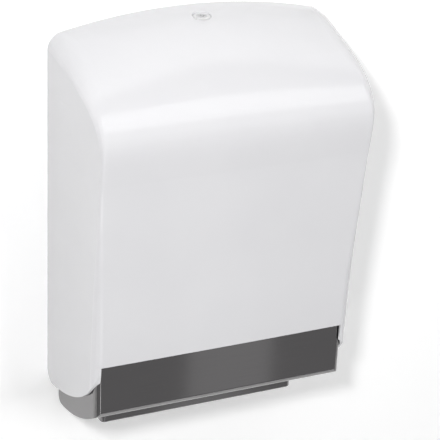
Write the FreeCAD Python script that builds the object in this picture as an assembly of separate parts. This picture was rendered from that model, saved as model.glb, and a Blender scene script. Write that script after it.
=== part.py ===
import FreeCAD, Part
import math
import os

V = FreeCAD.Vector

# Wall-held folded-towel dispenser. Millimetres; X to the right, -Y out from the wall, Z up.
# The wall is the plane Y = 0 and the origin is the centre of the four wall screws.
# "depth" below is the distance out from the wall, so a depth d lies at Y = -d.

# --- cover: the form of its outer face -------------------------------------
COVER_W = 300.0            # width at the wall
TOP_Z = 209.0              # crown of the top at the wall
SHOULDER_Z = 129.0         # height of the bend between top and front
SHOULDER_D = 145.0         # depth that the bend aims at; its rounding stays 4 mm inside
FRONT_D = 120.0            # depth of the front face at its lower edge
FRONT_EDGE_Z = -120.0      # lower edge of the front face
TOP_CROWN = 19.5           # fall of the top from its middle to its sides, at the wall
SIDE_TAPER = 7.5           # how far each side draws in at the front of the lower edge
TAPER_END = 2.0            # front heights above the lower edge at which that taper is gone
WALL_CORNER_R = 13.0       # rounding of the top corners at the wall
SHOULDER_R = 28.0          # widest rounding of the side edges, over the top
FRONT_CORNER_R = 3.5       # rounding of the side edges below the shoulder
LOWER_CORNER_R = 10.0      # rounding of the side edges along the lower front
COVER_T = 3.0              # moulded wall
INNER_R_MIN = 2.0          # tightest rounding inside the cover
REAR_SPAN = 50.0           # height of the hindmost section behind the wall plane
REAR_GAP = 1.0             # cover rim to wall

# Middle line of the outer face, as poles. Over the top: share of SHOULDER_D and of the rise
# from SHOULDER_Z to TOP_Z. Down the front: share of the shoulder's overhang and of the height.
TOP_POLES = [(-0.083, 1.0), (0.058, 1.0), (0.255, 1.0), (0.534, 0.738), (1.025, 0.160)]
FRONT_POLES = [(0.605, 0.853), (0.45, 0.604), (0.20, 0.378), (0.156, 0.145), (0.0, -0.088), (0.0, -0.245),
               (0.0, -0.321)]
FRONT_CROWN = 0.8          # fall of the front from its middle to its sides
SECTIONS = 21              # sections along the middle line
CORNER_ARCS = 4            # arcs that make up one rounded corner of a section
# Where each change along the middle line starts and ends, as shares of its length to the shoulder.
CROWN_FADE = (0.21, 1.0)
CORNER_GROWTH = 0.50
CORNER_FADE = (0.39, 1.15)
LOWER_FADE = (1.3, 2.3)
PATCH_ENDS = [0.62, 0.9, 1.25, 1.75]   # the skin is cut into patches here

# --- hinge -------------------------------------------------------------------
AXIS_D = 14.5              # hinge axis out from the wall
AXIS_Z = -179.0            # hinge axis height
HEEL_R = AXIS_D - REAR_GAP # rounded lower rear corner of the cover, about the hinge axis
TONGUE_POINTS = [(28.5, -189.9), (61.0, -181.2), (86.0, -170.2), (104.0, -157.4), (115.0, -143.5)]
TONGUE_TIP_D = 119.9
TONGUE_TIP_Z = -128.5
TONGUE_FRONT_W = 15.5      # front face of each side tongue
OPENING_HALF_W = COVER_W / 2 - TONGUE_FRONT_W
TRUNNION_R = 6.0
TRUNNION_LEN = 7.2         # inward from the cover's side
RUNNING_FIT = 0.05         # radial clearance of a turning shaft
SIDE_GAP = 1.5             # cover tongue to cheek of the lower body
OPEN_ANGLE = 75.0          # how far the cover swings down
BUSH_R = 8.0
BUSH_FIT = 0.05
BUSH_FLANGE_R = 10.5
BUSH_FLANGE_T = 0.7
FLANGE_FIT = 0.1           # bush flange to the cheek
WASHER_R = 9.0
WASHER_T = 1.2
HINGE_SCREW_LEN = 6.0
STOP_RADIUS = 34.0         # stop lug from the hinge axis
STOP_START = 100.0         # angle of the stop lug above the forward direction, cover shut
STOP_LUG_R = 3.0
STOP_LUG_REACH = 2.0       # lug past the cheek's inner face
STOP_CLEAR = 0.4           # stop lug to the sides and ends of its slot

# --- lower body ---------------------------------------------------------------
SHEET = 1.2                # stainless sheet
PANEL_GAP = 1.0            # cover's front wall to the front panel behind it
BODY_TOP_Z = -92.0         # top of the cheeks
PANEL_TOP_Z = -106.0       # top of the front panel, behind the cover
REAR_FLANGE_TOP_Z = -138.0 # top of the flange that is screwed to the back plate
SHELF_Z = -192.0           # step under the back plate
REAR_WALL_D = 23.5         # rear wall of the trough
TROUGH_Z = -209.2          # lowest line of the trough
TROUGH_MID = (70.0, -202.3)
TROUGH_FRONT_Z = -179.2
FRONT_BEND_R = 8.0
REAR_BEND_R = 8.0
STEP_BEND_R = 2.5
BODY_CORNER_R = 7.0
HEM = 7.0                  # turned-in top of the front panel
HEM_INSET = 14.0           # end of that hem to the cheek
CHEEK_STEP_D = 58.0        # the cheeks step down to the panel's top here

# --- towel outlet --------------------------------------------------------------
OUTLET_SIDE = 39.0         # cover's side to the outside of the frame
OUTLET_HALF_W = COVER_W / 2 - OUTLET_SIDE
OUTLET_D0 = 29.0
OUTLET_D1 = 61.0
OUTLET_BOTTOM_Z = -223.6
OUTLET_WALL = 1.6
OUTLET_FLANGE = 9.0
OUTLET_CORNER_R = 5.0
OUTLET_FIT = 0.3
LIP_R = 1.6
RIVET_R = 1.6
RIVET_HEAD_R = 3.0
RIVET_HEAD_T = 1.0
RIVET_CLEAR = 0.1          # rivet head off the trough's curved sheet
OUTLET_FLANGE_T = 1.5
OUTLET_FLANGE_REAR = 3.0
OUTLET_RIVET_D = [37.0, 53.0]
FLOOR_STACK = SHEET + OUTLET_FLANGE_T

# --- back plate -----------------------------------------------------------------
PLATE_T = 1.5
PLATE_SIDE = 7.5           # cover's side to the plate's edge
PLATE_HALF_W = COVER_W / 2 - PLATE_SIDE
PLATE_TOP_Z = 174.0
PLATE_BOTTOM_Z = -188.0
PLATE_RIM = 12.0
RIM_BOTTOM_Z = -88.0       # the rim stops above the lower body's cheeks
KEEPER_NOTCH = 4.0         # gap beside the keeper in the top rim
PLATE_CORNER_R = 16.0
MOUNT_DX = 200.0           # wall screws, side to side
MOUNT_DZ = 240.0           # wall screws, up and down
MOUNT_HOLE_R = 3.25
BEAD_X = 52.0
BEAD_R = 5.0
BEAD_PROUD = 1.8
BEAD_Z0 = -112.0
BEAD_Z1 = 112.0

# --- screws -----------------------------------------------------------------------
SCREW_R = 2.0              # M4
SCREW_HEAD_R = 4.0
SCREW_HEAD_T = 2.4
SCREW_FIT = 0.1
BODY_SCREW_PITCH = 70.0
BODY_SCREW_X = [BODY_SCREW_PITCH * (i - 1.5) for i in range(4)]
BODY_SCREW_Z = -152.0
SCREW_SLOT = 1.0
SHANK_RECESS = 0.2         # shank's end inside the plate's rear face
SEAT_OVERLAP = 0.5         # shank into its own head, so that they are one piece

# --- stack guides --------------------------------------------------------------------
GUIDE_INSET = 14.5         # plate's edge to the inner face of the guide
TOWEL_HALF_W = PLATE_HALF_W - GUIDE_INSET
GUIDE_T = 1.2
GUIDE_FOOT = 12.0
GUIDE_DEPTH = 98.0
GUIDE_LIP = 9.0
GUIDE_Z0 = -84.0
GUIDE_Z1 = 118.0
GUIDE_BEND_R = 2.0
GUIDE_CHAMFER = 16.0
GUIDE_RIVET_Z = [-70.0, 18.0, 104.0]

# --- lock ----------------------------------------------------------------------------
LOCK_D = 32.0              # lock axis out from the wall
LOCK_SEAT_R = 10.0
LOCK_SEAT_DROP = 1.2       # flat seat below the crown of the top
LOCK_BOSS_R = 14.0
LOCK_BOSS_T = 5.0
LOCK_FLANGE_R = 8.6
LOCK_FLANGE_T = 1.2
LOCK_BARREL_R = 7.4
LOCK_BARREL_LEN = 19.0
LOCK_HOLE_FIT = 0.1
PLUG_R = 5.6
PLUG_RISE = 0.3
NUT_R = 11.0
NUT_T = 4.0
CAM_T = 2.0
CAM_W = 12.0
HOOK_R0 = 13.6
HOOK_R1 = 15.6
HOOK_W = 8.0
HOOK_DROP = 8.0
CAM_SQUARE = 7.0
CAM_DROP = 0.3             # cam below the barrel
CAM_SCREW_R = 1.5
CAM_SCREW_HEAD_R = 3.0
CAM_SCREW_HEAD_T = 2.0
CAM_SCREW_WASHER = 2.5     # head flange that overlaps the cam
CAM_SCREW_LEN = 8.0
KEY_WELL_R = 2.6
KEY_POST_R = 1.3
KEY_ARM = 4.2
KEY_W = 1.5
KEY_DEPTH = 7.0
NUT_NOTCHES = 6
NUT_NOTCH = 2.5
KEEPER_W = 12.0
KEEPER_T = 1.5
KEEPER_TAB_R = 10.0        # front tab from the lock axis
KEEPER_TAB_CLEAR = 2.0     # tab's top to the cam's underside
KEEPER_SHELF_DROP = 12.0   # tab's height over the shelf
KEEPER_LEG = 24.0
KEEPER_RIVET_PITCH = 12.0

# --- bumpers and ribs --------------------------------------------------------------------
BUMPER_INSET = 37.5        # plate's edge to the middle of the bumper
BUMPER_X = PLATE_HALF_W - BUMPER_INSET
BUMPER_Z = 160.0
BUMPER_R = 6.0
BUMPER_LEN = 11.0
BUMPER_STEM_R = 2.5
BUMPER_ROUND = 1.5
REST_GAP = 0.3
RIB_T = 2.0
RIB_DEPTH = 7.0
RIB_PITCH = 70.0
RIB_START = 20.0           # ribs start this far above the front panel's top
RIB_CLEAR = 6.0            # middle rib to the boss of the lock
RIB_X = [-RIB_PITCH, 0.0, RIB_PITCH]
GUSSET_END_D = 44.0
GUSSET_BOTTOM = 12.0       # gusset below the middle of the bumper

# --- cutting bodies ---------------------------------------------------------------------------
REAR_REACH = 20.0          # behind the wall plane
THROUGH = 1.0              # past a face that is cut through
CHEEK_REACH = 6.0          # to each side of the bowed cheek
OPEN_TOP = 20.0            # above the open top of the lower body
FAR = 400.0


def pt(x, depth, z):
    """A point given by its distance out from the wall."""
    return V(x, -depth, z)


def block(x0, x1, d0, d1, z0, z1):
    """A box between two depths."""
    return Part.makeBox(x1 - x0, d1 - d0, z1 - z0, V(x0, -d1, z0))


def slab_x(outline, x0, x1):
    """Side outline of (depth, height) points, made solid from x0 to x1."""
    points = [pt(x0, d, z) for d, z in outline]
    points.append(points[0])
    return Part.Face(Part.makePolygon(points)).extrude(V(x1 - x0, 0, 0))


def rod_x(radius, x0, x1, depth, z):
    return Part.makeCylinder(radius, x1 - x0, pt(x0, depth, z), V(1, 0, 0))


def rod_out(radius, x, z, d0, d1):
    """A round bar that points straight out from the wall."""
    return Part.makeCylinder(radius, d1 - d0, pt(x, d0, z), V(0, -1, 0))


def rod_up(radius, x, depth, z0, z1):
    return Part.makeCylinder(radius, z1 - z0, pt(x, depth, z0))


def fuse(shapes):
    result = shapes[0]
    for shape in shapes[1:]:
        result = result.fuse(shape)
    return result.removeSplitter()


def mirrored(shape):
    return shape.mirror(V(0, 0, 0), V(1, 0, 0))


def edges_at(solid, places, axis):
    """The edges along one axis whose other two coordinates match a place."""
    found = []
    for edge in solid.Edges:
        if len(edge.Vertexes) < 2:
            continue
        a = edge.Vertexes[0].Point
        b = edge.Vertexes[-1].Point
        run = b - a
        if abs(run[axis]) < 0.99 * run.Length or run.Length < 0.5:
            continue
        others = [i for i in range(3) if i != axis]
        for place in places:
            if all(abs(a[i] - place[j]) < 0.05 for j, i in enumerate(others)):
                found.append(edge)
    return found


# --- cover ------------------------------------------------------------------------------

def taper_share(z):
    """How much of the side taper holds at this height: all of it below, none at the shoulder."""
    u = (z - FRONT_EDGE_Z) / (SHOULDER_Z - FRONT_EDGE_Z)
    u = min(max(u / TAPER_END, 0.0), 1.0)
    return 0.5 * (1.0 + math.cos(math.pi * u))


def side_x(depth, z):
    """Outer face of the cover's side, from the middle plane."""
    d = max(depth, 0.0)
    return COVER_W / 2 - SIDE_TAPER * taper_share(z) * (d / FRONT_D) ** 2


def cover_path():
    """Middle line of the outer face, from behind the wall plane over the top and down."""
    poles = []
    for fd, fz in TOP_POLES:
        poles.append(pt(0, fd * SHOULDER_D, SHOULDER_Z + fz * (TOP_Z - SHOULDER_Z)))
    for fd, fz in FRONT_POLES:
        poles.append(pt(0, FRONT_D + fd * (SHOULDER_D - FRONT_D),
                        FRONT_EDGE_Z + fz * (SHOULDER_Z - FRONT_EDGE_Z)))
    path = Part.BSplineCurve()
    path.buildFromPoles(poles)
    return path


def fade(share, ends):
    """1 before the first end, 0 after the second, and a smooth fall between."""
    t = min(max((share - ends[0]) / (ends[1] - ends[0]), 0.0), 1.0)
    return 0.5 * (1.0 + math.cos(math.pi * t))


def crown_at(share):
    return FRONT_CROWN + (TOP_CROWN - FRONT_CROWN) * fade(share, CROWN_FADE)


def corner_radius_at(share):
    grown = 1.0 - max(1.0 - share / CORNER_GROWTH, 0.0) ** 2
    behind = WALL_CORNER_R + (SHOULDER_R - WALL_CORNER_R) * grown
    ahead = FRONT_CORNER_R + (SHOULDER_R - FRONT_CORNER_R) * fade(share, CORNER_FADE)
    lower = (LOWER_CORNER_R - FRONT_CORNER_R) * (1.0 - fade(share, LOWER_FADE))
    return min(behind, ahead + lower)


def arc_poles(centre, radius, start, end, count):
    """Cubic poles of a circular arc cut into equal pieces, without the last point."""
    step = (end - start) / count
    pull = 4.0 / 3.0 * math.tan(step / 4.0) * radius
    poles = []
    for i in range(count):
        for angle, lead in ((start + step * i, 0.0), (start + step * i, pull),
                            (start + step * (i + 1), -pull)):
            x = centre[0] + radius * math.cos(angle) - lead * math.sin(angle)
            s = centre[1] + radius * math.sin(angle) + lead * math.cos(angle)
            poles.append((x, s))
    return poles


def section_poles(rear, front, crown, radius, inset):
    """Poles of one U-shaped section: side, corner, top, corner, side, in cubic arcs."""
    rear_d, rear_z = rear
    front_d, front_z = front
    length = math.hypot(front_d - rear_d, front_z - rear_z)
    half = COVER_W / 2 - inset

    def place(x, s):
        share = s / length
        return pt(x, rear_d + (front_d - rear_d) * share, rear_z + (front_z - rear_z) * share)

    def side(s):
        p = place(0, s)
        return side_x(-p.y, p.z) - inset

    bow = (half ** 2 + crown ** 2) / (2 * crown)
    base = length - bow
    s_c = length - crown - radius
    for _ in range(30):
        slope = (side(s_c + 0.1) - side(s_c - 0.1)) / 0.2
        norm = math.hypot(1.0, slope)
        touch_s = s_c - slope / norm * radius
        x_c = side(touch_s) - radius / norm
        s_c = base + math.sqrt((bow - radius) ** 2 - x_c ** 2)
    lean = math.atan2(x_c, s_c - base)
    slope_0 = (side(0.1) - side(0.0)) / 0.1
    third = touch_s / 3.0
    flat = [(side(0.0), 0.0), (side(0.0) + slope_0 * third, third),
            (side(touch_s) - slope * third, touch_s - third)]
    flat += arc_poles((x_c, s_c), radius, -math.atan(slope), math.pi / 2 - lean, CORNER_ARCS)
    flat += arc_poles((0.0, base), bow, math.pi / 2 - lean, math.pi / 2, 1)
    right = [place(x, s) for x, s in flat]
    left = [V(-p.x, p.y, p.z) for p in right]
    return left + [place(0, length)] + list(reversed(right))


def cover_sections(inset):
    """Pole rows of all sections, how far along the middle line each one lies, and the shoulder."""
    path = cover_path()
    stations = path.discretize(Number=SECTIONS)
    rear_d = -stations[0].y
    travelled = [path.length() * i / (SECTIONS - 1) for i in range(SECTIONS)]
    shoulder = path.length(path.FirstParameter, path.parameter(pt(0, SHOULDER_D, SHOULDER_Z)))
    sections = []
    for point, along in zip(stations, travelled):
        tangent = path.tangent(path.parameter(point))[0]
        moved = point + V(0, -tangent.z, tangent.y) * inset
        share = along / shoulder
        front = (-moved.y, moved.z)
        if along == 0.0:
            front = (rear_d, moved.z)
        rear_z = min(TOP_Z - REAR_SPAN + (SHOULDER_Z - TOP_Z + REAR_SPAN) * share, moved.z)
        if share > 1.0:
            rear_z = moved.z
        corner = max(corner_radius_at(share) - inset, INNER_R_MIN)
        sections.append(section_poles((rear_d, rear_z), front, crown_at(share), corner, inset))
    return sections, travelled, shoulder


def skin_patches(columns, knots, mults, cuts):
    """One strip of the skin between four pole columns, cut across into patches."""
    surface = Part.BSplineSurface()
    surface.buildFromPolesMultsKnots(columns, (4, 4), mults, (0.0, 1.0), knots, False, False, 3, 3)
    ends = [knots[0]] + cuts + [knots[-1]]
    patches = []
    for low, high in zip(ends, ends[1:]):
        patch = surface.copy()
        patch.segment(0.0, 1.0, low, high)
        patches.append(patch.toShape())
    return patches


def cover_form(inset):
    """The cover as a full body, its outer face moved inward by an inset."""
    sections, travelled, shoulder = cover_sections(inset)
    columns = []
    for column in zip(*sections):
        curve = Part.BSplineCurve()
        curve.interpolate(Points=list(column), Parameters=travelled)
        columns.append(curve.getPoles())
    knots = curve.getKnots()
    mults = curve.getMultiplicities()
    cuts = [shoulder * share for share in PATCH_ENDS]
    faces = []
    for i in range(0, len(columns) - 3, 3):
        faces += skin_patches(columns[i:i + 4], knots, mults, cuts)
    for end in (0, -1):
        poles = sections[end]
        rim = []
        for i in range(0, len(poles) - 3, 3):
            arc = Part.BezierCurve()
            arc.setPoles(poles[i:i + 4])
            rim.append(arc.toShape())
        rim.append(Part.makeLine(poles[-1], poles[0]))
        faces.append(Part.Face(Part.Wire(rim)))
    back = [sections[0][0], sections[0][-1], sections[-1][-1], sections[-1][0], sections[0][0]]
    faces.append(Part.Face(Part.makePolygon(back)))
    shell = Part.makeShell(faces)
    shell.sewShape()
    form = Part.makeSolid(shell)
    if form.Volume < 0:
        form.reverse()
    return form


def tongue_cutter():
    """Everything below the cover's lower outline: straight front edge, side tongues, heel."""
    start = TONGUE_POINTS[0]
    away = math.hypot(start[0] - AXIS_D, start[1] - AXIS_Z)
    angle = math.atan2(start[1] - AXIS_Z, start[0] - AXIS_D) - math.acos(HEEL_R / away)
    heel = (AXIS_D + HEEL_R * math.cos(angle), AXIS_Z + HEEL_R * math.sin(angle))
    half = 0.5 * (angle - math.pi)
    mid = (AXIS_D + HEEL_R * math.cos(half), AXIS_Z + HEEL_R * math.sin(half))
    if mid[0] > AXIS_D:
        mid = (AXIS_D - HEEL_R * math.cos(half), AXIS_Z - HEEL_R * math.sin(half))
    curve = Part.BSplineCurve()
    sweep = [heel] + TONGUE_POINTS + [(TONGUE_TIP_D, TONGUE_TIP_Z)]
    curve.interpolate([pt(-FAR, d, z) for d, z in sweep])
    tip = pt(-FAR, TONGUE_TIP_D, TONGUE_TIP_Z)
    edge = pt(-FAR, FRONT_D + 0.5, FRONT_EDGE_Z)
    rear = pt(-FAR, REAR_GAP, AXIS_Z)
    arc = Part.Arc(rear, pt(-FAR, mid[0], mid[1]), pt(-FAR, heel[0], heel[1])).toShape()
    rim = [tip, edge, pt(-FAR, FAR, FRONT_EDGE_Z), pt(-FAR, FAR, -FAR), pt(-FAR, -REAR_REACH, -FAR),
           pt(-FAR, -REAR_REACH, AXIS_Z), rear]
    lines = [Part.makeLine(rim[i], rim[i + 1]) for i in range(len(rim) - 1)]
    wire = Part.Wire(Part.__sortEdges__([arc, curve.toShape()] + lines))
    return Part.Face(wire).extrude(V(2 * FAR, 0, 0))


def lock_seat_z():
    """Height of the flat seat for the lock in the top."""
    cut = cover_path().toShape().common(block(-1, 1, LOCK_D - 0.01, LOCK_D + 0.01, SHOULDER_Z, FAR))
    return cut.BoundBox.ZMax - LOCK_SEAT_DROP


def gusset_rear_d():
    return PLATE_T + BUMPER_LEN + REST_GAP


def cover_ribs(inner):
    """Stiffening ribs under the top and behind the front, and the two closing gussets."""
    core = cover_form(COVER_T + RIB_DEPTH)
    z0 = PANEL_TOP_Z + RIB_START
    ribs = []
    for x in RIB_X:
        d0 = LOCK_D + LOCK_BOSS_R + RIB_CLEAR if x == 0.0 else gusset_rear_d()
        strip = block(x - RIB_T / 2, x + RIB_T / 2, d0, FAR, z0, FAR)
        ribs.append(inner.common(strip).cut(core))
    low = BUMPER_Z - GUSSET_BOTTOM
    for x in (-BUMPER_X, BUMPER_X):
        strip = block(x - RIB_T / 2, x + RIB_T / 2, gusset_rear_d(), GUSSET_END_D, low, FAR)
        ribs.append(inner.common(strip))
    return ribs


def trunnion_end_x():
    return side_x(AXIS_D, AXIS_Z) - COVER_T - TRUNNION_LEN


def stop_place():
    a = math.radians(STOP_START)
    return AXIS_D + STOP_RADIUS * math.cos(a), AXIS_Z + STOP_RADIUS * math.sin(a)


def make_cover():
    outer = cover_form(0.0)
    inner = cover_form(COVER_T)
    shell = outer.cut(inner)
    rear = block(-FAR, FAR, -FAR, REAR_GAP, -FAR, FAR)
    added = []
    for rib in cover_ribs(inner):
        added.append(rib)
    boss = rod_up(LOCK_BOSS_R, 0, LOCK_D, lock_seat_z() - LOCK_BOSS_T, FAR).common(outer)
    added.append(boss)
    wall_x = side_x(AXIS_D, AXIS_Z) - 0.5 * COVER_T
    stop_d, stop_z = stop_place()
    for side in (-1, 1):
        ends = sorted((side * trunnion_end_x(), side * wall_x))
        added.append(rod_x(TRUNNION_R, ends[0], ends[1], AXIS_D, AXIS_Z))
        lug = sorted((side * (wall_x - 0.5 * COVER_T - SIDE_GAP - SHEET - STOP_LUG_REACH), side * wall_x))
        added.append(rod_x(STOP_LUG_R, lug[0], lug[1], stop_d, stop_z))
    cover = shell.fuse(added)
    cover = cover.cut(rear)
    cover = cover.cut(tongue_cutter())
    window = block(-OPENING_HALF_W, OPENING_HALF_W, FRONT_D / 2, FAR, -FAR, FRONT_EDGE_Z)
    cover = cover.cut(window)
    seat = rod_up(LOCK_SEAT_R, 0, LOCK_D, lock_seat_z(), FAR)
    hole = rod_up(LOCK_BARREL_R + LOCK_HOLE_FIT, 0, LOCK_D, 0, FAR)
    cover = cover.cut(seat).cut(hole)
    for side in (-1, 1):
        ends = sorted((side * (trunnion_end_x() - THROUGH), side * (trunnion_end_x() + HINGE_SCREW_LEN)))
        cover = cover.cut(rod_x(SCREW_R, ends[0], ends[1], AXIS_D, AXIS_Z))
    return cover


# --- lower body ---------------------------------------------------------------------------

def panel_d():
    return FRONT_D - COVER_T - PANEL_GAP


def trough_arc_centre():
    """Centre and radius of the trough's rounded underside, as (depth, z)."""
    (ax, ay), (bx, by), (cx, cy) = ((REAR_WALL_D, TROUGH_Z), TROUGH_MID, (panel_d(), TROUGH_FRONT_Z))
    k = 2 * (ax * (by - cy) + bx * (cy - ay) + cx * (ay - by))
    a2, b2, c2 = ax * ax + ay * ay, bx * bx + by * by, cx * cx + cy * cy
    x = (a2 * (by - cy) + b2 * (cy - ay) + c2 * (ay - by)) / k
    y = (a2 * (cx - bx) + b2 * (ax - cx) + c2 * (bx - ax)) / k
    return x, y, math.hypot(ax - x, ay - y)


def body_side_wire(inset):
    """Side outline of the lower body: rear flange, shelf, trough, front panel."""
    x0 = -FAR
    front = panel_d()
    corners = [(PLATE_T, BODY_TOP_Z), (PLATE_T, SHELF_Z), (REAR_WALL_D, SHELF_Z),
               (REAR_WALL_D, TROUGH_Z)]
    lines = [Part.makeLine(pt(x0, *corners[i]), pt(x0, *corners[i + 1])) for i in range(3)]
    low = pt(x0, *corners[3])
    bend = pt(x0, front, TROUGH_FRONT_Z)
    top = pt(x0, front, BODY_TOP_Z)
    arc = Part.Arc(low, pt(x0, *TROUGH_MID), bend).toShape()
    lines += [arc, Part.makeLine(bend, top), Part.makeLine(top, lines[0].Vertexes[0].Point)]
    prism = Part.Face(Part.Wire(lines)).extrude(V(2 * FAR, 0, 0))
    for radius, place in ((FRONT_BEND_R, (front, TROUGH_FRONT_Z)), (REAR_BEND_R, corners[3]),
                          (STEP_BEND_R, corners[2]), (STEP_BEND_R, corners[1])):
        edges = edges_at(prism, [(-place[0], place[1])], 0)
        prism = prism.makeFillet(radius, edges)
    end = min(prism.Faces, key=lambda face: face.CenterOfMass.x)
    if inset == 0:
        return end.OuterWire
    return end.OuterWire.makeOffset2D(-inset)


def body_plan(inset):
    """Plan of the lower body: bowed sides like the cover's, with rounded front corners."""
    z0 = -FAR
    front = panel_d() - inset
    gap = COVER_T + SIDE_GAP + inset
    rear = -REAR_REACH
    places = [(side_x(d, FRONT_EDGE_Z) - gap, d) for d in (0.0, front / 2, front)]
    right = Part.Arc(*[pt(x, d, z0) for x, d in places]).toShape()
    left = Part.Arc(*[pt(-x, d, z0) for x, d in reversed(places)]).toShape()
    x_rear = places[0][0]
    x_front = places[-1][0]
    face_line = Part.makeLine(pt(x_front, front, z0), pt(-x_front, front, z0))
    back = Part.makePolygon([pt(-x_rear, 0, z0), pt(-x_rear, rear, z0), pt(x_rear, rear, z0),
                             pt(x_rear, 0, z0)])
    wire = Part.Wire([right, face_line, left] + back.Edges)
    prism = Part.Face(wire).extrude(V(0, 0, 2 * FAR))
    edges = edges_at(prism, [(x_front, -front), (-x_front, -front)], 2)
    return prism.makeFillet(BODY_CORNER_R - inset, edges)


def body_form(inset, raise_top=0.0):
    """The lower body's outside, moved inward by an inset, its top raised if it is a cutter."""
    side = Part.Face(body_side_wire(inset)).extrude(V(2 * FAR, 0, 0))
    form = side.common(body_plan(inset))
    if raise_top:
        top = max(form.Faces, key=lambda face: face.CenterOfMass.z)
        form = form.fuse(top.extrude(V(0, 0, raise_top)))
    return form


def stop_slot(x0, x1):
    """The slot in a cheek along which a stop lug travels, about the hinge axis."""
    wide = STOP_LUG_R + STOP_CLEAR
    ends = []
    for extra, turn in ((1, 0.0), (-1, OPEN_ANGLE)):
        lead = math.degrees(STOP_CLEAR / STOP_RADIUS) * 0.5 * extra
        a = math.radians(STOP_START - turn + lead)
        ends.append(a)
    ring = rod_x(STOP_RADIUS + wide, x0, x1, AXIS_D, AXIS_Z)
    ring = ring.cut(rod_x(STOP_RADIUS - wide, x0, x1, AXIS_D, AXIS_Z))
    reach = STOP_RADIUS * 2.0
    wedge = [(AXIS_D, AXIS_Z)]
    for i in range(5):
        a = ends[0] + (ends[1] - ends[0]) * i / 4.0
        wedge.append((AXIS_D + reach * math.cos(a), AXIS_Z + reach * math.sin(a)))
    slot = ring.common(slab_x(wedge, x0, x1))
    for a in ends:
        d = AXIS_D + STOP_RADIUS * math.cos(a)
        z = AXIS_Z + STOP_RADIUS * math.sin(a)
        slot = slot.fuse(rod_x(wide, x0, x1, d, z))
    return slot


def cheek_x():
    return side_x(AXIS_D, AXIS_Z) - COVER_T - SIDE_GAP


def outlet_floor_hole(grow, z0, z1):
    x = OUTLET_HALF_W + grow
    hole = block(-x, x, OUTLET_D0 - grow, OUTLET_D1 + grow, z0, z1)
    d0, d1 = OUTLET_D0 - grow, OUTLET_D1 + grow
    corners = [(sx * x, -d) for sx in (-1, 1) for d in (d0, d1)]
    return hole.makeFillet(OUTLET_CORNER_R + grow, edges_at(hole, corners, 2))


def make_lower_body():
    outer = body_form(0.0)
    inner = body_form(SHEET, raise_top=OPEN_TOP)
    body = outer.cut(inner)
    wide = side_x(0, FRONT_EDGE_Z) - COVER_T - SIDE_GAP - SHEET
    body = body.cut(block(-wide, wide, -FAR, PLATE_T + SHEET + THROUGH, REAR_FLANGE_TOP_Z, FAR))
    body = body.cut(block(-FAR, FAR, CHEEK_STEP_D, FAR, PANEL_TOP_Z, FAR))
    inner_front = panel_d() - SHEET
    hem = block(-wide + HEM_INSET, wide - HEM_INSET, inner_front - HEM,
                inner_front + SHEET / 2, PANEL_TOP_Z - SHEET, PANEL_TOP_Z)
    body = body.fuse(hem).removeSplitter()
    for side in (-1, 1):
        ends = sorted((side * (cheek_x() - CHEEK_REACH), side * (cheek_x() + CHEEK_REACH)))
        body = body.cut(rod_x(BUSH_R + BUSH_FIT, ends[0], ends[1], AXIS_D, AXIS_Z))
        body = body.cut(stop_slot(ends[0], ends[1]))
    body = body.cut(outlet_floor_hole(OUTLET_FIT, OUTLET_BOTTOM_Z, SHELF_Z))
    for x in BODY_SCREW_X:
        body = body.cut(rod_out(SCREW_R + SCREW_FIT, x, BODY_SCREW_Z, 0.0, AXIS_D))
    for x, axis in outlet_rivet_places():
        body = body.cut(rivet_bar(RIVET_R + SCREW_FIT, x, axis, -FLOOR_STACK, THROUGH))
    return body


# --- towel outlet ----------------------------------------------------------------------------

def outlet_rivet_places():
    """Rivets beside the outlet: x and the direction square to the floor there."""
    cx, cz, radius = trough_arc_centre()
    places = []
    for depth in OUTLET_RIVET_D:
        z = cz - math.sqrt(radius ** 2 - (depth - cx) ** 2)
        down = V(0, -(depth - cx), z - cz)
        down.normalize()
        for side in (-1, 1):
            places.append((side * (OUTLET_HALF_W + OUTLET_FLANGE / 2), (pt(0, depth, z), down)))
    return places


def rivet_bar(radius, x, axis, start, end):
    """A bar square to the trough's floor, measured down from the floor's outer face."""
    point, down = axis
    base = V(x, point.y, point.z) + V(down).multiply(start)
    return Part.makeCylinder(radius, end - start, base, down)


def make_outlet_frame():
    """Frame that guides the towels out, with a rounded lip and a flange on the trough floor."""
    tube = outlet_floor_hole(0.0, OUTLET_BOTTOM_Z, SHELF_Z)
    d0, d1, x = OUTLET_D0, OUTLET_D1, OUTLET_HALF_W
    bottom = min(tube.Faces, key=lambda face: face.CenterOfMass.z)
    tube = tube.makeFillet(LIP_R, bottom.Edges)
    top_layer = body_form(SHEET).cut(body_form(SHEET + OUTLET_FLANGE_T))
    wide = x + OUTLET_FLANGE
    region = block(-wide, wide, d0 - OUTLET_FLANGE_REAR, d1 + OUTLET_FLANGE, OUTLET_BOTTOM_Z,
                   SHELF_Z)
    flange = top_layer.common(region)
    below = body_form(SHEET + OUTLET_FLANGE_T, raise_top=OPEN_TOP)
    frame = tube.cut(below).fuse(flange).removeSplitter()
    well = outlet_floor_hole(-OUTLET_WALL, OUTLET_BOTTOM_Z - THROUGH, SHELF_Z)
    frame = frame.cut(well)
    for px, axis in outlet_rivet_places():
        frame = frame.cut(rivet_bar(RIVET_R + SCREW_FIT, px, axis, -FLOOR_STACK - THROUGH, THROUGH))
    return frame


def make_outlet_rivets():
    rivets = []
    for x, axis in outlet_rivet_places():
        inner = -FLOOR_STACK - RIVET_CLEAR
        shank = rivet_bar(RIVET_R, x, axis, inner, RIVET_CLEAR)
        head = rivet_bar(RIVET_HEAD_R, x, axis, RIVET_CLEAR, RIVET_CLEAR + RIVET_HEAD_T)
        tail = rivet_bar(RIVET_HEAD_R, x, axis, inner - RIVET_HEAD_T, inner)
        rivets.append(fuse([shank, head, tail]))
    return Part.makeCompound(rivets)


# --- back plate ----------------------------------------------------------------------------------

def mount_places():
    return [(sx * MOUNT_DX / 2, sz * MOUNT_DZ / 2) for sz in (1, -1) for sx in (-1, 1)]


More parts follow.
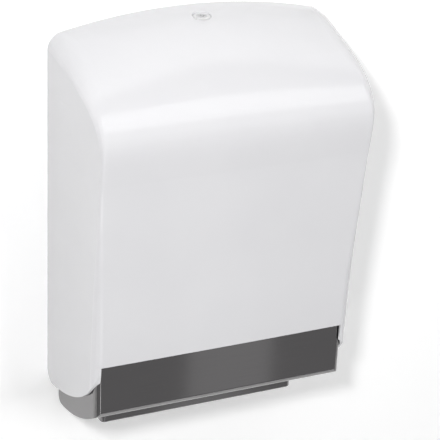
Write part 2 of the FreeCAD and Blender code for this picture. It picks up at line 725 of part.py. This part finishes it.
def make_back_plate():
    x = PLATE_HALF_W
    pan = block(-x, x, 0.0, PLATE_RIM, PLATE_BOTTOM_Z, PLATE_TOP_Z)
    pan = pan.makeFillet(PLATE_CORNER_R, edges_at(pan, [(sx * x, PLATE_TOP_Z) for sx in (-1, 1)], 1))
    pocket = block(-x + PLATE_T, x - PLATE_T, PLATE_T, PLATE_RIM + THROUGH,
                   PLATE_BOTTOM_Z - THROUGH, PLATE_TOP_Z - PLATE_T)
    corners = [(sx * (x - PLATE_T), PLATE_TOP_Z - PLATE_T) for sx in (-1, 1)]
    pocket = pocket.makeFillet(PLATE_CORNER_R - PLATE_T, edges_at(pocket, corners, 1))
    plate = pan.cut(pocket)
    rim_end = block(-FAR, FAR, PLATE_T, FAR, PLATE_BOTTOM_Z - THROUGH, RIM_BOTTOM_Z)
    plate = plate.cut(rim_end)
    notch = KEEPER_W / 2 + KEEPER_NOTCH
    plate = plate.cut(block(-notch, notch, PLATE_T, FAR, PLATE_TOP_Z - KEEPER_NOTCH, FAR))
    for side in (-1, 1):
        bead = rod_up(BEAD_R, side * BEAD_X, BEAD_PROUD + PLATE_T - BEAD_R, BEAD_Z0, BEAD_Z1)
        groove = rod_up(BEAD_R - PLATE_T, side * BEAD_X, BEAD_PROUD + PLATE_T - BEAD_R,
                        BEAD_Z0 + PLATE_T, BEAD_Z1 - PLATE_T)
        plate = plate.fuse(bead.common(block(-FAR, FAR, PLATE_T / 2, FAR, -FAR, FAR)))
        plate = plate.cut(groove)
    for px, pz in mount_places():
        plate = plate.cut(rod_out(MOUNT_HOLE_R, px, pz, -THROUGH, PLATE_RIM))
    for px in BODY_SCREW_X:
        plate = plate.cut(rod_out(SCREW_R + SCREW_FIT, px, BODY_SCREW_Z, -THROUGH, PLATE_RIM))
    for px, pz in guide_rivet_places() + keeper_rivet_places():
        plate = plate.cut(rod_out(RIVET_R + SCREW_FIT, px, pz, -THROUGH, PLATE_RIM))
    for side in (-1, 1):
        plate = plate.cut(rod_out(BUMPER_STEM_R + REST_GAP, side * BUMPER_X, BUMPER_Z, -THROUGH,
                                  PLATE_RIM))
    return plate


def flat_rivet(x, z, stack_d):
    """Rivet through the back plate and one sheet on it; its rear end stays inside the plate."""
    shank = rod_out(RIVET_R, x, z, SHANK_RECESS, stack_d + SEAT_OVERLAP)
    head = rod_out(RIVET_HEAD_R, x, z, stack_d, stack_d + RIVET_HEAD_T)
    return fuse([shank, head])


def make_body_screws():
    seat = PLATE_T + SHEET
    screws = []
    for x in BODY_SCREW_X:
        shank = rod_out(SCREW_R, x, BODY_SCREW_Z, SHANK_RECESS, seat + SEAT_OVERLAP)
        head = rod_out(SCREW_HEAD_R, x, BODY_SCREW_Z, seat, seat + SCREW_HEAD_T)
        rim = max(head.Faces, key=lambda face: -face.CenterOfMass.y)
        head = head.makeChamfer(SCREW_HEAD_T / 4, rim.Edges)
        slot = block(x - SCREW_HEAD_R, x + SCREW_HEAD_R, seat + SCREW_HEAD_T / 2, AXIS_D + 10,
                     BODY_SCREW_Z - SCREW_SLOT / 2, BODY_SCREW_Z + SCREW_SLOT / 2)
        screws.append(fuse([shank, head]).cut(slot))
    return Part.makeCompound(screws)


# --- stack guides -----------------------------------------------------------------------------------

def guide_rivet_places():
    x = TOWEL_HALF_W - GUIDE_FOOT / 2
    return [(side * x, z) for side in (-1, 1) for z in GUIDE_RIVET_Z]


def make_stack_guide():
    """Right-hand guide: foot on the back plate, side wall, lip that turns in front of the towels."""
    x1 = TOWEL_HALF_W + GUIDE_T
    d0 = PLATE_T
    d1 = PLATE_T + GUIDE_DEPTH
    outer = block(TOWEL_HALF_W - GUIDE_FOOT, x1, d0, d1, GUIDE_Z0, GUIDE_Z1)
    outer = outer.makeFillet(GUIDE_BEND_R, edges_at(outer, [(x1, -d0), (x1, -d1)], 2))
    x_in = TOWEL_HALF_W
    well = block(0, x_in, d0 + GUIDE_T, d1 - GUIDE_T, GUIDE_Z0 - THROUGH, GUIDE_Z1 + THROUGH)
    corners = [(x_in, -d0 - GUIDE_T), (x_in, -d1 + GUIDE_T)]
    well = well.makeFillet(GUIDE_BEND_R - GUIDE_T, edges_at(well, corners, 2))
    guide = outer.cut(well)
    guide = guide.cut(block(0, x_in - GUIDE_LIP, d1 - GUIDE_T - THROUGH, d1 + THROUGH, -FAR, FAR))
    slope = [(d1 - GUIDE_CHAMFER, GUIDE_Z1), (d1, GUIDE_Z1), (d1, GUIDE_Z1 - GUIDE_CHAMFER)]
    guide = guide.cut(slab_x(slope, 0, FAR))
    for px, pz in guide_rivet_places():
        guide = guide.cut(rod_out(RIVET_R + SCREW_FIT, px, pz, 0, AXIS_D))
    return guide


def make_guide_rivets():
    stack = PLATE_T + GUIDE_T
    return Part.makeCompound([flat_rivet(x, z, stack) for x, z in guide_rivet_places()])


# --- hinge ---------------------------------------------------------------------------------------------

def make_hinge_bush():
    """Right-hand flanged bush in the cheek; the cover's trunnion turns in it."""
    x0 = trunnion_end_x() + REST_GAP
    x1 = side_x(0, AXIS_Z) - COVER_T - SIDE_GAP + FLANGE_FIT
    bush = fuse([
        rod_x(BUSH_R, x0, x1 + SEAT_OVERLAP, AXIS_D, AXIS_Z),
        rod_x(BUSH_FLANGE_R, x1, x1 + BUSH_FLANGE_T, AXIS_D, AXIS_Z),
    ])
    return bush.cut(rod_x(TRUNNION_R + RUNNING_FIT, x0 - THROUGH, COVER_W / 2, AXIS_D, AXIS_Z))


def make_hinge_washer():
    x1 = trunnion_end_x()
    washer = rod_x(WASHER_R, x1 - WASHER_T, x1, AXIS_D, AXIS_Z)
    return washer.cut(rod_x(SCREW_R + SCREW_FIT, 0, x1 + THROUGH, AXIS_D, AXIS_Z))


def make_hinge_screw():
    x1 = trunnion_end_x() - WASHER_T
    shank = rod_x(SCREW_R, x1 - SEAT_OVERLAP, x1 + HINGE_SCREW_LEN, AXIS_D, AXIS_Z)
    head = rod_x(SCREW_HEAD_R, x1 - SCREW_HEAD_T, x1, AXIS_D, AXIS_Z)
    end = min(head.Faces, key=lambda face: face.CenterOfMass.x)
    head = head.makeChamfer(SCREW_HEAD_T / 4, end.Edges)
    slot = block(0, x1 - SCREW_HEAD_T / 2, AXIS_D - SCREW_HEAD_R, AXIS_D + SCREW_HEAD_R,
                 AXIS_Z - SCREW_SLOT / 2, AXIS_Z + SCREW_SLOT / 2)
    return fuse([shank, head]).cut(slot)


# --- lock ---------------------------------------------------------------------------------------------------

def barrel_bottom_z():
    return lock_seat_z() - LOCK_BARREL_LEN


def make_lock_housing():
    seat = lock_seat_z()
    flange = rod_up(LOCK_FLANGE_R, 0, LOCK_D, seat, seat + LOCK_FLANGE_T)
    top = max(flange.Faces, key=lambda face: face.CenterOfMass.z)
    flange = flange.makeChamfer(LOCK_FLANGE_T / 3, top.Edges)
    barrel = rod_up(LOCK_BARREL_R, 0, LOCK_D, barrel_bottom_z(), seat + LOCK_FLANGE_T / 2)
    housing = fuse([flange, barrel])
    return housing.cut(rod_up(PLUG_R + RUNNING_FIT, 0, LOCK_D, 0, FAR))


def make_lock_plug():
    """Turning plug with a slotted key well, and the square that drives the cam."""
    top = lock_seat_z() + LOCK_FLANGE_T + PLUG_RISE
    low = barrel_bottom_z() - CAM_DROP
    plug = rod_up(PLUG_R, 0, LOCK_D, low, top)
    rim = max(plug.Faces, key=lambda face: face.CenterOfMass.z)
    plug = plug.makeChamfer(PLUG_RISE, rim.Edges)
    half = CAM_SQUARE / 2
    square = block(-half, half, LOCK_D - half, LOCK_D + half, low - CAM_T, low + THROUGH)
    plug = plug.fuse(square)
    well = rod_up(KEY_WELL_R, 0, LOCK_D, top - KEY_DEPTH, top)
    post = rod_up(KEY_POST_R, 0, LOCK_D, top - KEY_DEPTH, top)
    key = well.cut(post)
    for turn in (0, 90):
        arm = block(-KEY_ARM, KEY_ARM, LOCK_D - KEY_W / 2, LOCK_D + KEY_W / 2, top - KEY_DEPTH, top)
        arm.rotate(pt(0, LOCK_D, 0), V(0, 0, 1), turn)
        key = key.fuse(arm.cut(post))
    plug = plug.cut(key)
    return plug.cut(rod_up(CAM_SCREW_R, 0, LOCK_D, 0, low - CAM_T + CAM_SCREW_LEN))


def make_lock_nut():
    """Ring nut under the cover that clamps the housing."""
    z1 = lock_seat_z() - LOCK_BOSS_T
    nut = rod_up(NUT_R, 0, LOCK_D, z1 - NUT_T, z1)
    nut = nut.cut(rod_up(LOCK_BARREL_R, 0, LOCK_D, 0, FAR))
    for i in range(NUT_NOTCHES):
        notch = block(-NUT_NOTCH / 2, NUT_NOTCH / 2, LOCK_D + NUT_R - NUT_NOTCH, FAR, z1 - NUT_T, z1)
        notch.rotate(pt(0, LOCK_D, 0), V(0, 0, 1), 360.0 * i / NUT_NOTCHES)
        nut = nut.cut(notch)
    return nut


def cam_top_z():
    return barrel_bottom_z() - CAM_DROP


def make_lock_cam():
    """Flat cam with a hook turned down at its end, pointing sideways when unlocked."""
    z1 = cam_top_z()
    z0 = z1 - CAM_T
    disc = rod_up(CAM_W / 2, 0, LOCK_D, z0, z1)
    arm = block(0, HOOK_R1, LOCK_D - HOOK_W / 2, LOCK_D + HOOK_W / 2, z0, z1)
    hook = block(HOOK_R0, HOOK_R1, LOCK_D - HOOK_W / 2, LOCK_D + HOOK_W / 2, z1 - HOOK_DROP, z1)
    cam = fuse([disc, arm, hook])
    bend = edges_at(cam, [(HOOK_R1, z1)], 1)
    cam = cam.makeFillet(CAM_T * 0.75, bend)
    half = CAM_SQUARE / 2 + RUNNING_FIT
    return cam.cut(block(-half, half, LOCK_D - half, LOCK_D + half, z0, z1))


def make_cam_screw():
    z = cam_top_z() - CAM_T
    head = rod_up(CAM_SCREW_HEAD_R + CAM_SCREW_WASHER, 0, LOCK_D, z - CAM_SCREW_HEAD_T, z)
    end = min(head.Faces, key=lambda face: face.CenterOfMass.z)
    head = head.makeChamfer(CAM_SCREW_HEAD_T / 3, end.Edges)
    shank = rod_up(CAM_SCREW_R, 0, LOCK_D, z - SEAT_OVERLAP, z + CAM_SCREW_LEN)
    slot = block(-CAM_W, CAM_W, LOCK_D - SCREW_SLOT / 2, LOCK_D + SCREW_SLOT / 2, 0,
                 z - CAM_SCREW_HEAD_T / 2)
    return fuse([head, shank]).cut(slot)


def keeper_tab_top_z():
    return cam_top_z() - CAM_T - KEEPER_TAB_CLEAR


def keeper_rivet_places():
    z = keeper_tab_top_z() - KEEPER_SHELF_DROP - KEEPER_LEG / 2
    return [(0.0, z - KEEPER_RIVET_PITCH / 2), (0.0, z + KEEPER_RIVET_PITCH / 2)]


def make_latch_keeper():
    """Bracket on the back plate; the cam's hook turns in behind its raised tab."""
    top = keeper_tab_top_z()
    shelf = top - KEEPER_SHELF_DROP
    d0 = PLATE_T
    d1 = LOCK_D - KEEPER_TAB_R
    w = KEEPER_W / 2
    t = KEEPER_T
    outline = [(d0, shelf - KEEPER_LEG), (d0 + t, shelf - KEEPER_LEG), (d0 + t, shelf - t),
               (d1, shelf - t), (d1, top), (d1 - t, top), (d1 - t, shelf), (d0, shelf)]
    keeper = slab_x(outline, -w, w)
    outer = edges_at(keeper, [(-d1, shelf - t), (-d0, shelf)], 0)
    keeper = keeper.makeFillet(t, outer)
    inner = edges_at(keeper, [(-d1 + t, shelf), (-d0 - t, shelf - t)], 0)
    keeper = keeper.makeFillet(t / 3, inner)
    for x, z in keeper_rivet_places():
        keeper = keeper.cut(rod_out(RIVET_R + SCREW_FIT, x, z, 0, AXIS_D))
    return keeper


def make_keeper_rivets():
    stack = PLATE_T + KEEPER_T
    return Part.makeCompound([flat_rivet(x, z, stack) for x, z in keeper_rivet_places()])


def make_bumper():
    """Right-hand rubber bumper against which the cover's gusset closes."""
    d1 = PLATE_T + BUMPER_LEN
    head = rod_out(BUMPER_R, BUMPER_X, BUMPER_Z, PLATE_T, d1)
    end = max(head.Faces, key=lambda face: -face.CenterOfMass.y)
    head = head.makeChamfer(BUMPER_ROUND, end.Edges)
    stem = rod_out(BUMPER_STEM_R, BUMPER_X, BUMPER_Z, SHANK_RECESS, PLATE_T + SEAT_OVERLAP)
    return fuse([head, stem])


def make_all():
    nodes = {
        "back_plate": make_back_plate(),
        "lower_body": make_lower_body(),
        "body_screws": make_body_screws(),
        "outlet_frame": make_outlet_frame(),
        "outlet_rivets": make_outlet_rivets(),
        "guide_rivets": make_guide_rivets(),
        "cover": make_cover(),
        "lock_housing": make_lock_housing(),
        "lock_plug": make_lock_plug(),
        "lock_nut": make_lock_nut(),
        "lock_cam": make_lock_cam(),
        "cam_screw": make_cam_screw(),
        "latch_keeper": make_latch_keeper(),
        "keeper_rivets": make_keeper_rivets(),
    }
    pairs = {
        "stack_guide": make_stack_guide(),
        "hinge_bush": make_hinge_bush(),
        "hinge_washer": make_hinge_washer(),
        "hinge_screw": make_hinge_screw(),
        "closing_bumper": make_bumper(),
    }
    for name, shape in pairs.items():
        nodes[name + "_right"] = shape
        nodes[name + "_left"] = mirrored(shape)
    return nodes


def write_parts():
    os.makedirs("parts", exist_ok=True)
    for name, shape in make_all().items():
        shape.exportStep("parts/" + name + ".step")


write_parts()
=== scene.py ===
import math
import bpy
from mathutils import Matrix, Vector

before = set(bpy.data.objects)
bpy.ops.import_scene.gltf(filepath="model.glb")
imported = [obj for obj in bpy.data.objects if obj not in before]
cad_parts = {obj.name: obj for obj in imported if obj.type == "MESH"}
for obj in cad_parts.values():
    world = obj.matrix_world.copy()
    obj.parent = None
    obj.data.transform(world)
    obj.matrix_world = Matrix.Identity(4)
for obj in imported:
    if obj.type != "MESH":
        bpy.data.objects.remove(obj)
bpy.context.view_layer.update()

scene = bpy.context.scene

# Metres; X to the right, -Y out from the wall, Z up. Object coordinates are metres as well,
# so a noise of scale 900 has a grain of about 1 mm.


# --- node helpers ---------------------------------------------------------------------

# Numbers of the Mix node's sockets when it mixes colours.
MIX_FACTOR, MIX_A, MIX_B = 0, 6, 7
MIX_COLOUR_OUT = 2

# How much of a noise's 0 to 1 a look uses; what lies outside takes the nearer end.
NARROW = (0.35, 0.65)
WIDE = (0.3, 0.7)
WIDEST = (0.25, 0.75)


def new_material(name):
    """New material, with its node tree and its Principled shader."""
    mat = bpy.data.materials.new(name)
    mat.use_nodes = True
    tree = mat.node_tree
    return mat, tree, tree.nodes["Principled BSDF"]


def coords(tree, scale=(1, 1, 1)):
    tex = tree.nodes.new("ShaderNodeTexCoord")
    mapping = tree.nodes.new("ShaderNodeMapping")
    mapping.inputs["Scale"].default_value = scale
    tree.links.new(tex.outputs["Object"], mapping.inputs["Vector"])
    return mapping.outputs["Vector"]


def noise(tree, vector, scale, detail=3.0, rough=0.5):
    node = tree.nodes.new("ShaderNodeTexNoise")
    node.inputs["Scale"].default_value = scale
    node.inputs["Detail"].default_value = detail
    node.inputs["Roughness"].default_value = rough
    tree.links.new(vector, node.inputs["Vector"])
    return node.outputs["Fac"]


def ramp(tree, value, source, target):
    """The value, carried from the range source to the range target and kept inside it."""
    node = tree.nodes.new("ShaderNodeMapRange")
    node.inputs["From Min"].default_value = source[0]
    node.inputs["From Max"].default_value = source[1]
    node.inputs["To Min"].default_value = target[0]
    node.inputs["To Max"].default_value = target[1]
    tree.links.new(value, node.inputs["Value"])
    return node.outputs["Result"]


def math_node(tree, operation, first, second):
    """Result of a Math node on a socket and either another socket or a number."""
    node = tree.nodes.new("ShaderNodeMath")
    node.operation = operation
    tree.links.new(first, node.inputs[0])
    if isinstance(second, float):
        node.inputs[1].default_value = second
    else:
        tree.links.new(second, node.inputs[1])
    return node.outputs["Value"]


def blend_colour(tree, value, a, b):
    """Colour a where the value is 0, b where it is 1."""
    node = tree.nodes.new("ShaderNodeMix")
    node.data_type = "RGBA"
    node.inputs[MIX_A].default_value = (*a, 1)
    node.inputs[MIX_B].default_value = (*b, 1)
    tree.links.new(value, node.inputs[MIX_FACTOR])
    return node.outputs[MIX_COLOUR_OUT]


def bump(tree, shader, value, strength, distance):
    node = tree.nodes.new("ShaderNodeBump")
    node.inputs["Strength"].default_value = strength
    node.inputs["Distance"].default_value = distance
    tree.links.new(value, node.inputs["Height"])
    tree.links.new(node.outputs["Normal"], shader.inputs["Normal"])


# --- materials --------------------------------------------------------------------------
#
# In each of these the roughness varies a little with a noise. A roughness that passes 0.274
# inside one material leaves white flecks in a denoised picture, so each material stays
# wholly below that value or wholly above it.

COAT_ROUGHNESS = 0.04
PLASTIC_IOR = 1.5
WORN_COLOUR = (0.9, 0.9, 0.9)
EDGE_RADIUS = 0.0006           # how far the wear of a powder coat reaches from an edge
FLAT_TO_EDGE = (1.0, 0.85)     # dot product of true and rounded normal: flat, full edge
EDGE_WEAR = 0.35               # share of the worn colour on an edge


def edge_mask(tree, radius):
    """0 on flat faces, 1 at edges, from the difference between true and rounded normal."""
    bevel = tree.nodes.new("ShaderNodeBevel")
    bevel.samples = 4
    bevel.inputs["Radius"].default_value = radius
    geo = tree.nodes.new("ShaderNodeNewGeometry")
    dot = tree.nodes.new("ShaderNodeVectorMath")
    dot.operation = "DOT_PRODUCT"
    tree.links.new(bevel.outputs["Normal"], dot.inputs[0])
    tree.links.new(geo.outputs["Normal"], dot.inputs[1])
    return ramp(tree, dot.outputs["Value"], FLAT_TO_EDGE, (0.0, 1.0))


def moulded(name, colour, shade, rough, coat):
    """Moulded plastic: slight mottling, a fine skin and soft variation in gloss."""
    mat, tree, shader = new_material(name)
    place = coords(tree)
    mottle = ramp(tree, noise(tree, place, scale=14.0, detail=2.0), NARROW, (0, 1))
    tree.links.new(blend_colour(tree, mottle, colour, shade), shader.inputs["Base Color"])
    polish = noise(tree, place, scale=60.0, detail=3.0)
    tree.links.new(ramp(tree, polish, WIDE, (rough * 0.85, rough * 1.15)),
                   shader.inputs["Roughness"])
    shader.inputs["Coat Weight"].default_value = coat
    shader.inputs["Coat Roughness"].default_value = COAT_ROUGHNESS
    shader.inputs["IOR"].default_value = PLASTIC_IOR
    skin = noise(tree, place, scale=900.0, detail=2.0)
    bump(tree, shader, skin, strength=0.25, distance=0.00002)
    return mat


def brushed(name, colour, shade, rough, along, scratch=0.00003):
    """Brushed sheet: long fine lines along one axis in colour, roughness and relief."""
    mat, tree, shader = new_material(name)
    stretch = [260.0, 260.0, 260.0]
    stretch[along] = 3.0
    lines = noise(tree, coords(tree, stretch), scale=6.0, detail=4.0, rough=0.65)
    broad = noise(tree, coords(tree), scale=9.0, detail=2.0)
    tree.links.new(blend_colour(tree, ramp(tree, lines, WIDE, (0, 1)), colour, shade),
                   shader.inputs["Base Color"])
    fine_part = ramp(tree, lines, WIDEST, (rough * 0.8, rough * 1.15))
    broad_part = ramp(tree, broad, WIDE, (-0.01, 0.01))
    tree.links.new(math_node(tree, "ADD", fine_part, broad_part), shader.inputs["Roughness"])
    shader.inputs["Metallic"].default_value = 1.0
    bump(tree, shader, lines, strength=0.35, distance=scratch)
    return mat


def coated(name, colour, shade, rough):
    """Powder coat: fine orange peel, and wear to a paler tone along the edges."""
    mat, tree, shader = new_material(name)
    place = coords(tree)
    peel = noise(tree, place, scale=700.0, detail=2.0)
    cloud = noise(tree, place, scale=12.0, detail=3.0)
    base = blend_colour(tree, ramp(tree, cloud, NARROW, (0, 1)), colour, shade)
    worn = tree.nodes.new("ShaderNodeMix")
    worn.data_type = "RGBA"
    worn.inputs[MIX_B].default_value = (*WORN_COLOUR, 1)
    wear = ramp(tree, edge_mask(tree, EDGE_RADIUS), (0.0, 1.0), (0.0, EDGE_WEAR))
    tree.links.new(wear, worn.inputs[MIX_FACTOR])
    tree.links.new(base, worn.inputs[MIX_A])
    tree.links.new(worn.outputs[MIX_COLOUR_OUT], shader.inputs["Base Color"])
    tree.links.new(ramp(tree, cloud, WIDE, (rough * 0.9, rough * 1.1)),
                   shader.inputs["Roughness"])
    bump(tree, shader, peel, strength=0.4, distance=0.00004)
    return mat


def soft_rubber(name):
    """Dark matt rubber with fine specks."""
    mat, tree, shader = new_material(name)
    place = coords(tree)
    speck = noise(tree, place, scale=500.0, detail=3.0)
    tree.links.new(blend_colour(tree, speck, (0.035, 0.035, 0.036), (0.055, 0.055, 0.057)),
                   shader.inputs["Base Color"])
    tree.links.new(ramp(tree, noise(tree, place, scale=80.0), WIDE, (0.6, 0.78)),
                   shader.inputs["Roughness"])
    bump(tree, shader, speck, strength=0.3, distance=0.00006)
    return mat


X_AXIS, Z_AXIS = 0, 2          # the axis that brushed lines run along

# The cover's gloss comes from its coat, so the shader's own highlight below it is faint.
WHITE = moulded("cover_white", (0.785, 0.783, 0.80), (0.775, 0.773, 0.792), rough=0.22, coat=1.0)
cover_shader = WHITE.node_tree.nodes["Principled BSDF"]
cover_shader.inputs["Specular IOR Level"].default_value = 0.2
cover_shader.inputs["Coat IOR"].default_value = 1.6

DARK_STEEL = (0.290, 0.284, 0.287)
PALE_STEEL = (0.315, 0.309, 0.312)
STEEL = brushed("trough_steel", DARK_STEEL, PALE_STEEL, 0.07, X_AXIS, scratch=0.000015)
RIM_STEEL = brushed("outlet_steel", DARK_STEEL, PALE_STEEL, 0.12, X_AXIS)
ZINC = brushed("zinc_steel", (0.62, 0.63, 0.65), (0.70, 0.71, 0.73), 0.38, Z_AXIS,
               scratch=0.00001)
PLATE = coated("plate_paint", (0.60, 0.61, 0.62), (0.57, 0.58, 0.59), 0.42)
NYLON = moulded("bush_nylon", (0.70, 0.68, 0.62), (0.66, 0.64, 0.58), rough=0.45, coat=0.0)
LOCK = moulded("lock_white", (0.78, 0.78, 0.78), (0.76, 0.76, 0.765), rough=0.35, coat=0.2)
PLUG = moulded("plug_grey", (0.63, 0.63, 0.64), (0.59, 0.59, 0.60), rough=0.40, coat=0.0)
RUBBER = soft_rubber("bumper_rubber")

# The cam, the keeper and all the small fasteners are zinc.
FINISH = {
    "cover": WHITE, "lower_body": STEEL, "outlet_frame": RIM_STEEL, "back_plate": PLATE,
    "stack_guide_left": PLATE, "stack_guide_right": PLATE, "lock_housing": LOCK,
    "lock_plug": PLUG, "lock_nut": NYLON, "hinge_bush_left": NYLON, "hinge_bush_right": NYLON,
    "closing_bumper_left": RUBBER, "closing_bumper_right": RUBBER,
}

for name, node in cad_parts.items():
    node.data.materials.clear()
    node.data.materials.append(FINISH.get(name, ZINC))
    for poly in node.data.polygons:
        poly.material_index = 0


# --- stage: the wall the dispenser hangs on, and a floor far below -----------------------

WALL_Y = 0.0004                # a hair behind the back plate's rear face
WALL_HALF_W = 4
WALL_LOW_Z, WALL_HIGH_Z = -2.2, 1.9
FLOOR_HALF_W = 2
FLOOR_FRONT_Y = -0.8
FLOOR_Z = -1.1
STAGE_GREY = (0.8, 0.8, 0.8)
SEEN_WHITE = (1, 1, 1)


def stage_sheet(name, corners, material):
    mesh = bpy.data.meshes.new(name)
    mesh.from_pydata(corners, [], [(0, 1, 2, 3)])
    obj = bpy.data.objects.new(name, mesh)
    scene.collection.objects.link(obj)
    mesh.materials.append(material)
    return obj


def seen_ray(tree, path):
    """1 for camera, glossy and transmission rays, else 0."""
    seen = path.outputs["Is Camera Ray"]
    for ray in ("Is Glossy Ray", "Is Transmission Ray"):
        seen = math_node(tree, "MAXIMUM", seen, path.outputs[ray])
    return seen


def stage_material(name, colour, seen_colour, lift):
    """Matt surface, clear from behind. The camera and reflections see it paler, while the
    light that it throws back keeps its plain colour. The shadows on it stay.
    """
    mat, tree, shader = new_material(name)
    tree.nodes.remove(shader)
    path = tree.nodes.new("ShaderNodeLightPath")
    matt = tree.nodes.new("ShaderNodeBsdfDiffuse")
    tree.links.new(blend_colour(tree, path.outputs["Is Camera Ray"], colour, seen_colour),
                   matt.inputs["Color"])
    glow = tree.nodes.new("ShaderNodeEmission")
    tree.links.new(math_node(tree, "MULTIPLY", seen_ray(tree, path), lift),
                   glow.inputs["Strength"])
    add = tree.nodes.new("ShaderNodeAddShader")
    tree.links.new(matt.outputs["BSDF"], add.inputs[0])
    tree.links.new(glow.outputs["Emission"], add.inputs[1])
    clear = tree.nodes.new("ShaderNodeBsdfTransparent")
    geo = tree.nodes.new("ShaderNodeNewGeometry")
    sides = tree.nodes.new("ShaderNodeMixShader")
    tree.links.new(geo.outputs["Backfacing"], sides.inputs[0])
    tree.links.new(add.outputs["Shader"], sides.inputs[1])
    tree.links.new(clear.outputs["BSDF"], sides.inputs[2])
    tree.links.new(sides.outputs["Shader"], tree.nodes["Material Output"].inputs["Surface"])
    return mat


wall = stage_sheet("stage_wall", [
    (-WALL_HALF_W, WALL_Y, WALL_LOW_Z), (WALL_HALF_W, WALL_Y, WALL_LOW_Z),
    (WALL_HALF_W, WALL_Y, WALL_HIGH_Z), (-WALL_HALF_W, WALL_Y, WALL_HIGH_Z),
], stage_material("stage_wall", STAGE_GREY, SEEN_WHITE, lift=0.14))
wall.visible_shadow = False    # lets the lamp behind it light the dispenser's back
stage_sheet("stage_floor", [
    (-FLOOR_HALF_W, FLOOR_FRONT_Y, FLOOR_Z), (FLOOR_HALF_W, FLOOR_FRONT_Y, FLOOR_Z),
    (FLOOR_HALF_W, WALL_Y, FLOOR_Z), (-FLOOR_HALF_W, WALL_Y, FLOOR_Z),
], stage_material("stage_floor", STAGE_GREY, STAGE_GREY, lift=0.1))


# --- lights --------------------------------------------------------------------------------

def axes_matrix(x, y, z, place):
    return Matrix((
        (x.x, y.x, z.x, place[0]),
        (x.y, y.y, z.y, place[1]),
        (x.z, y.z, z.z, place[2]),
        (0, 0, 0, 1),
    ))


def new_lamp(name, width, height, power):
    data = bpy.data.lights.new(name, "AREA")
    data.shape = "RECTANGLE"
    data.size = width
    data.size_y = height
    data.energy = power
    lamp = bpy.data.objects.new(name, data)
    scene.collection.objects.link(lamp)
    return lamp


def area_light(name, place, target, size, power, mirrored=True):
    """Rectangular lamp at a place, turned to a target; mirrored says that gloss shows it."""
    lamp = new_lamp(name, size[0], size[1], power)
    lamp.location = place
    lamp.rotation_euler = (Vector(target) - Vector(place)).to_track_quat("-Z", "Y").to_euler()
    lamp.visible_glossy = mirrored


def panel_light(name, upper_left, upper_right, lower_left, power):
    """Rectangular soft box given by three corners; it shines toward the dispenser."""
    across = Vector(upper_right) - Vector(upper_left)
    drop = Vector(lower_left) - Vector(upper_left)
    drop -= across * (drop.dot(across) / across.length_squared)
    x, y = across.normalized(), -drop.normalized()
    lamp = new_lamp(name, across.length, drop.length, power)
    lamp.matrix_world = axes_matrix(x, y, x.cross(y), Vector(upper_left) + (across + drop) / 2)


# Key: small and near, for the sharp shadow on the wall to the right and below.
area_light("key_left", (-0.99, -1.54, 1.09), (0, 0, 0), (0.19, 0.19), 23, mirrored=False)
# Wide light on the front from the right.
area_light("fill_right", (1.4, -2.25, 0.6), (0, -0.1, 0), (1.4, 1.4), 24, mirrored=False)
# Soft box over the top, for the bright band along the shoulder.
panel_light("top_box", (-0.72, -0.45, 1.36), (1.0, -0.50, 1.22), (-0.72, -1.07, 0.98), 4.0)
# Tall strip, for the highlight down the trough's left front edge.
area_light("strip_front", (-0.12, -1.8, -0.75), (-0.12, -0.1, -0.75), (0.10, 1.6), 1.1)
# Light on the left side and the tongue from below.
area_light("fill_low", (-1.35, -0.8, -1.0), (-0.1, -0.05, -0.15), (0.8, 0.8), 5.5,
           mirrored=False)
# Lights the back plate, seen from behind through the clear back of the wall.
area_light("back_soft", (0, 2.0, -0.05), (0, 0, -0.05), (0.3, 0.3), 22, mirrored=False)
# Pale board that the steel front mirrors as a soft streak in its middle.
area_light("board_low", (0.688, -1.518, -0.9), (0.0, -0.116, -0.9), (0.17, 1.2), 0.105)

# Room: dim all round; the camera and reflections see it as an even mid grey.
ROOM_LIGHT = (0.12, 0.12, 0.12)
ROOM_SEEN = (0.28, 0.277, 0.28)
world = bpy.data.worlds.new("studio")
world.use_nodes = True
tree = world.node_tree
background = tree.nodes["Background"]
seen = seen_ray(tree, tree.nodes.new("ShaderNodeLightPath"))
tree.links.new(blend_colour(tree, seen, ROOM_LIGHT, ROOM_SEEN), background.inputs["Color"])
background.inputs["Strength"].default_value = 1.0
scene.world = world
scene.view_settings.view_transform = "Standard"


# --- camera: solved from the straight edges in the photo -------------------------------------

CAM_PLACE = (-0.68956, -1.55864, 0.77015)
CAM_AZIMUTH = math.radians(25.24)     # turned to the right by this
CAM_DOWN = math.radians(25.12)        # looking down by this
CAM_ROLL = math.radians(2.63)
FOCAL_PX = 1776.5                     # focal length in pixels of the photo
PHOTO_PX = 440.0
SENSOR_MM = 36.0

forward = Vector((
    math.sin(CAM_AZIMUTH) * math.cos(CAM_DOWN),
    math.cos(CAM_AZIMUTH) * math.cos(CAM_DOWN),
    -math.sin(CAM_DOWN),
))
right = Vector((math.cos(CAM_AZIMUTH), -math.sin(CAM_AZIMUTH), 0))
up = right.cross(forward)
right = right * math.cos(CAM_ROLL) + up * math.sin(CAM_ROLL)
up = right.cross(forward)
cam_data = bpy.data.cameras.new("camera")
cam_data.sensor_width = SENSOR_MM
cam_data.lens = FOCAL_PX * SENSOR_MM / PHOTO_PX
cam_data.clip_start = 0.05
cam = bpy.data.objects.new("camera", cam_data)
cam.matrix_world = axes_matrix(right, up, -forward, CAM_PLACE)
scene.collection.objects.link(cam)
scene.camera = cam
